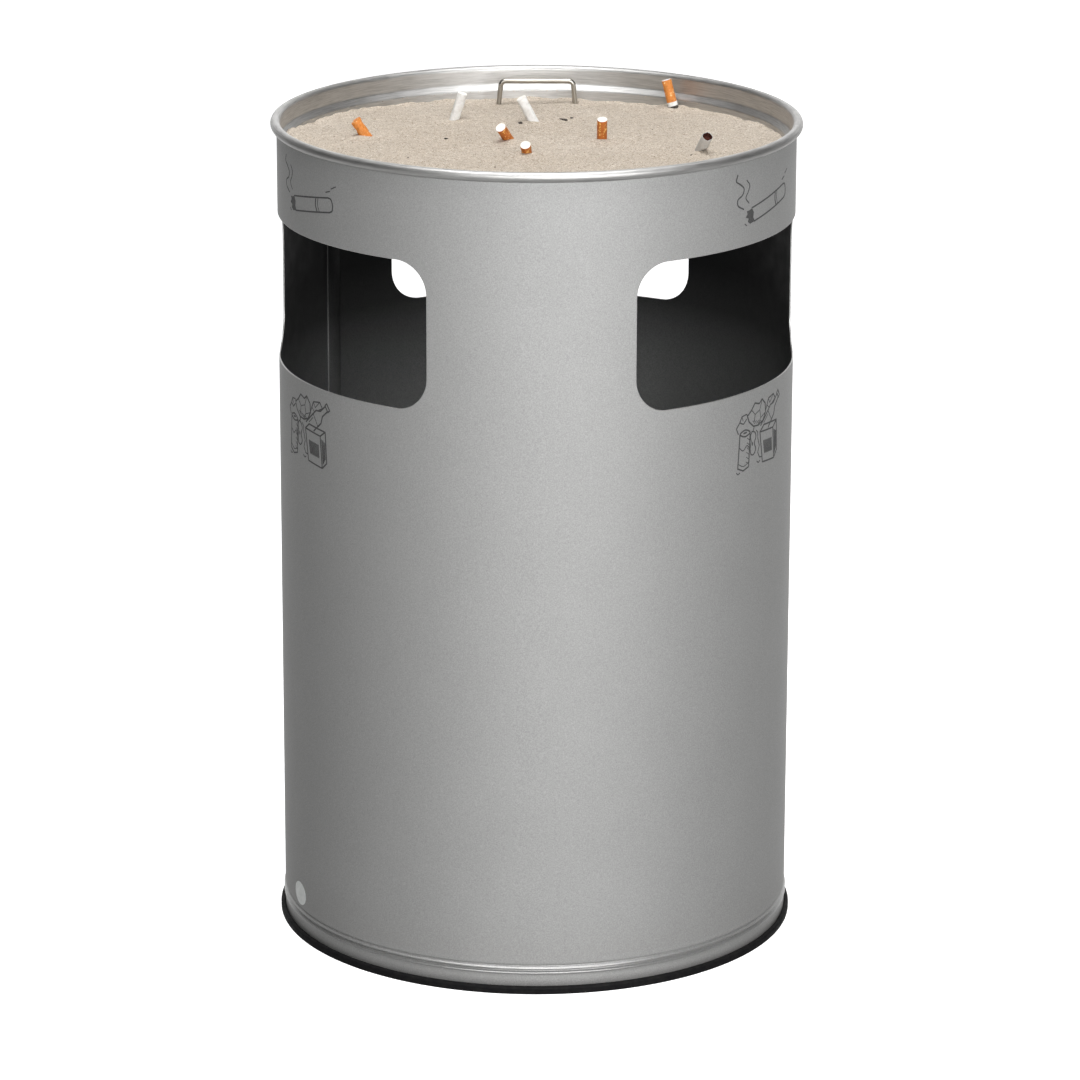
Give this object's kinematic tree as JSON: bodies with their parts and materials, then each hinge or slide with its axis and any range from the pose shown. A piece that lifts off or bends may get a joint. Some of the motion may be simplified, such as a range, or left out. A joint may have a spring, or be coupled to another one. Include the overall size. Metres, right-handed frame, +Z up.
{
  "type": "ashtray bin",
  "caption": "Round litter bin with throw-in openings at the sides and a lift-off sand bowl with a sieve on top for cigarettes.",
  "frame": {"origin": "centre of the foot ring's underside, on the ground", "axes": "+Z up; -Y is the front, the strip between two of the throw-in openings; the third opening faces +Y"},
  "size_m": [0.3992, 0.3992, 0.6271],
  "materials": {
    "body_coat": "silver-grey metallic powder coat, fine grain",
    "body_inside": "dark inside of the shell, matt",
    "ring_rubber": "black rubber, satin",
    "galvanised": "galvanised sheet with soft spangle",
    "rivet_steel": "satin",
    "wire_steel": "drawn wire, semi-bright",
    "bowl_metal": "bright spun aluminium",
    "sieve_steel": "perforated sheet, satin",
    "sand": "fine pale quartz sand",
    "cork_paper": "speckled cork-look tipping paper",
    "white_paper": "white paper",
    "ash": "burnt tobacco and ash",
    "print_ink": "dark grey printed line"
  },
  "bodies": {
    "bin": {"body_shell": "body_coat", "floor_pan": "galvanised", "base_ring": "ring_rubber"},
    "liner": {"liner_wall": "galvanised", "liner_floor": "galvanised", "bail_ear_left": "galvanised", "bail_ear_right": "galvanised", "ear_rivets": "rivet_steel"},
    "bail": {"bail_handle": "wire_steel"},
    "bowl": {"ash_bowl": "bowl_metal", "sand": "sand"},
    "sieve": {"sieve_plate": "sieve_steel", "sieve_grip": "wire_steel", "butts_cork": "cork_paper", "butts_white": "white_paper"}
  },
  "joints": [
    {"name": "bowl_lift", "type": "slide", "parent": "bin", "child": "bowl", "axis": [0, 0, 1], "range_m": [0, 0.12]},
    {"name": "sieve_lift", "type": "slide", "parent": "bowl", "child": "sieve", "axis": [0, 0, 1], "range_m": [0, 0.08], "deforming": ["sand"]},
    {"name": "liner_lift", "type": "slide", "parent": "bin", "child": "liner", "axis": [0, 0, 1], "range_m": [0, 0.17]},
    {"name": "bail_swing", "type": "hinge", "parent": "liner", "child": "bail", "pos_m": [0, 0, 0.3528], "axis": [-1, 0, 0], "range_deg": [0, 180]}
  ]
}
